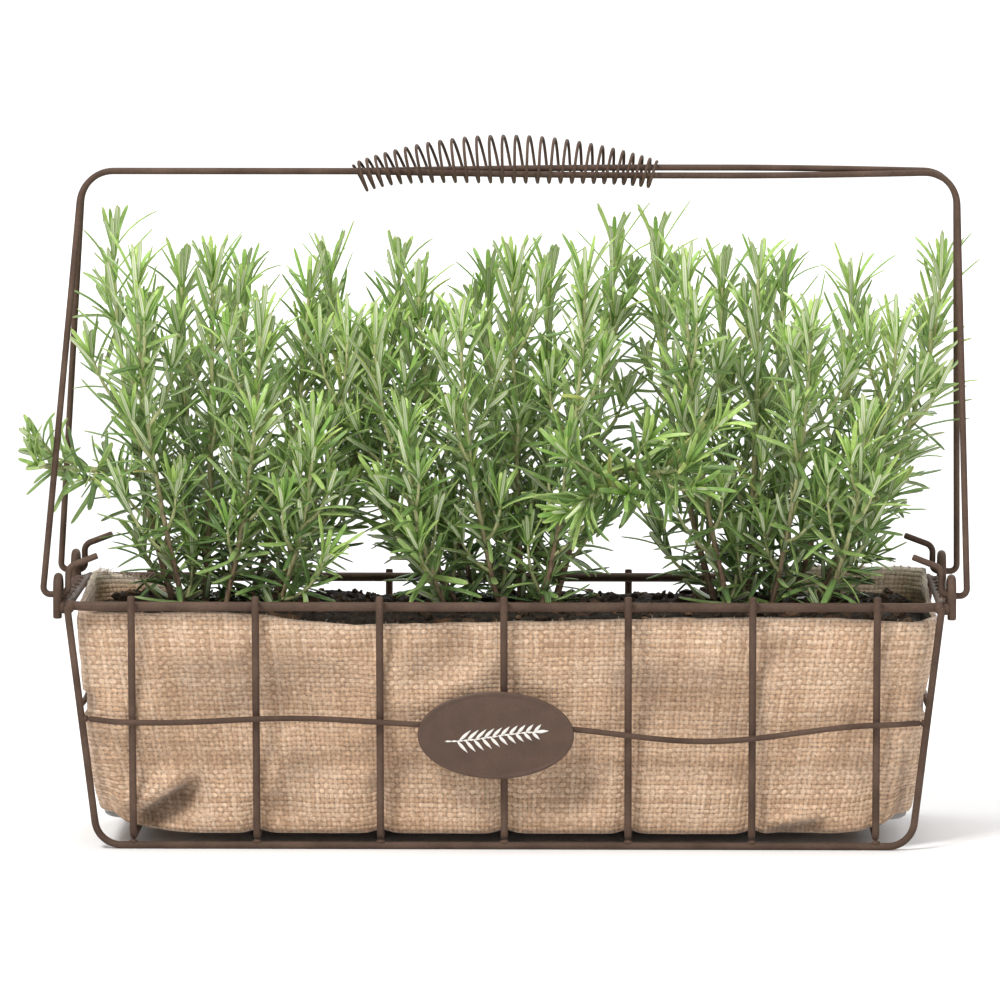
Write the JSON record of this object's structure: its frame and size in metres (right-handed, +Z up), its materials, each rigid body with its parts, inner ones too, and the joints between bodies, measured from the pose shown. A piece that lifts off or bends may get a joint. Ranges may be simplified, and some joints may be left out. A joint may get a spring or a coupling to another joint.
{
  "type": "potted rosemary plant",
  "caption": "Rectangular wire basket planter with a bail handle, a burlap liner, potting soil and bushy upright rosemary plants.",
  "frame": {"origin": "on the floor under the middle of the basket", "axes": "+X along the basket to its right as seen from the side with the oval plate, +Y to its back, +Z up"},
  "size_m": [0.4274, 0.1404, 0.3183],
  "materials": {
    "basket_wire": "matte brown powder coat",
    "label_plate": "fine-grained dark brown paint with a pale printed sprig",
    "burlap": "coarse natural jute weave",
    "liner_film": "thin translucent plastic film",
    "potting_soil": "loose crumbly dark soil",
    "root_ball": "fibrous dark peat",
    "rosemary": "living needle leaves, semi-matte, pale below, on woody stems"
  },
  "bodies": {
    "root": {"rim_wire": "basket_wire", "front_frame_wire": "basket_wire", "rear_frame_wire": "basket_wire", "rib_wire_1": "basket_wire", "rib_wire_2": "basket_wire", "rib_wire_3": "basket_wire", "rib_wire_4": "basket_wire", "rib_wire_5": "basket_wire", "rib_wire_6": "basket_wire", "rib_wire_7": "basket_wire", "front_middle_wire": "basket_wire", "rear_middle_wire": "basket_wire", "left_middle_wire": "basket_wire", "right_middle_wire": "basket_wire", "left_eye_bracket": "basket_wire", "right_eye_bracket": "basket_wire", "front_bail": "basket_wire", "rear_bail": "basket_wire", "grip_coil": "basket_wire", "label_plate": "label_plate", "burlap_liner": "burlap", "film_liner": "liner_film", "potting_soil": "potting_soil", "left_root_ball": "root_ball", "centre_root_ball": "root_ball", "right_root_ball": "root_ball", "left_rosemary_sprig_01": "rosemary", "left_rosemary_sprig_02": "rosemary", "left_rosemary_sprig_03": "rosemary", "left_rosemary_sprig_04": "rosemary", "left_rosemary_sprig_05": "rosemary", "left_rosemary_sprig_06": "rosemary", "left_rosemary_sprig_07": "rosemary", "left_rosemary_sprig_08": "rosemary", "left_rosemary_sprig_09": "rosemary", "left_rosemary_sprig_10": "rosemary", "left_rosemary_sprig_11": "rosemary", "centre_rosemary_sprig_01": "rosemary", "centre_rosemary_sprig_02": "rosemary", "centre_rosemary_sprig_03": "rosemary", "centre_rosemary_sprig_04": "rosemary", "centre_rosemary_sprig_05": "rosemary", "centre_rosemary_sprig_06": "rosemary", "centre_rosemary_sprig_07": "rosemary", "centre_rosemary_sprig_08": "rosemary", "centre_rosemary_sprig_09": "rosemary", "centre_rosemary_sprig_10": "rosemary", "centre_rosemary_sprig_11": "rosemary", "right_rosemary_sprig_01": "rosemary", "right_rosemary_sprig_02": "rosemary", "right_rosemary_sprig_03": "rosemary", "right_rosemary_sprig_04": "rosemary", "right_rosemary_sprig_05": "rosemary", "right_rosemary_sprig_06": "rosemary", "right_rosemary_sprig_07": "rosemary", "right_rosemary_sprig_08": "rosemary", "right_rosemary_sprig_09": "rosemary", "right_rosemary_sprig_10": "rosemary", "right_rosemary_sprig_11": "rosemary"}
  },
  "joints": []
}
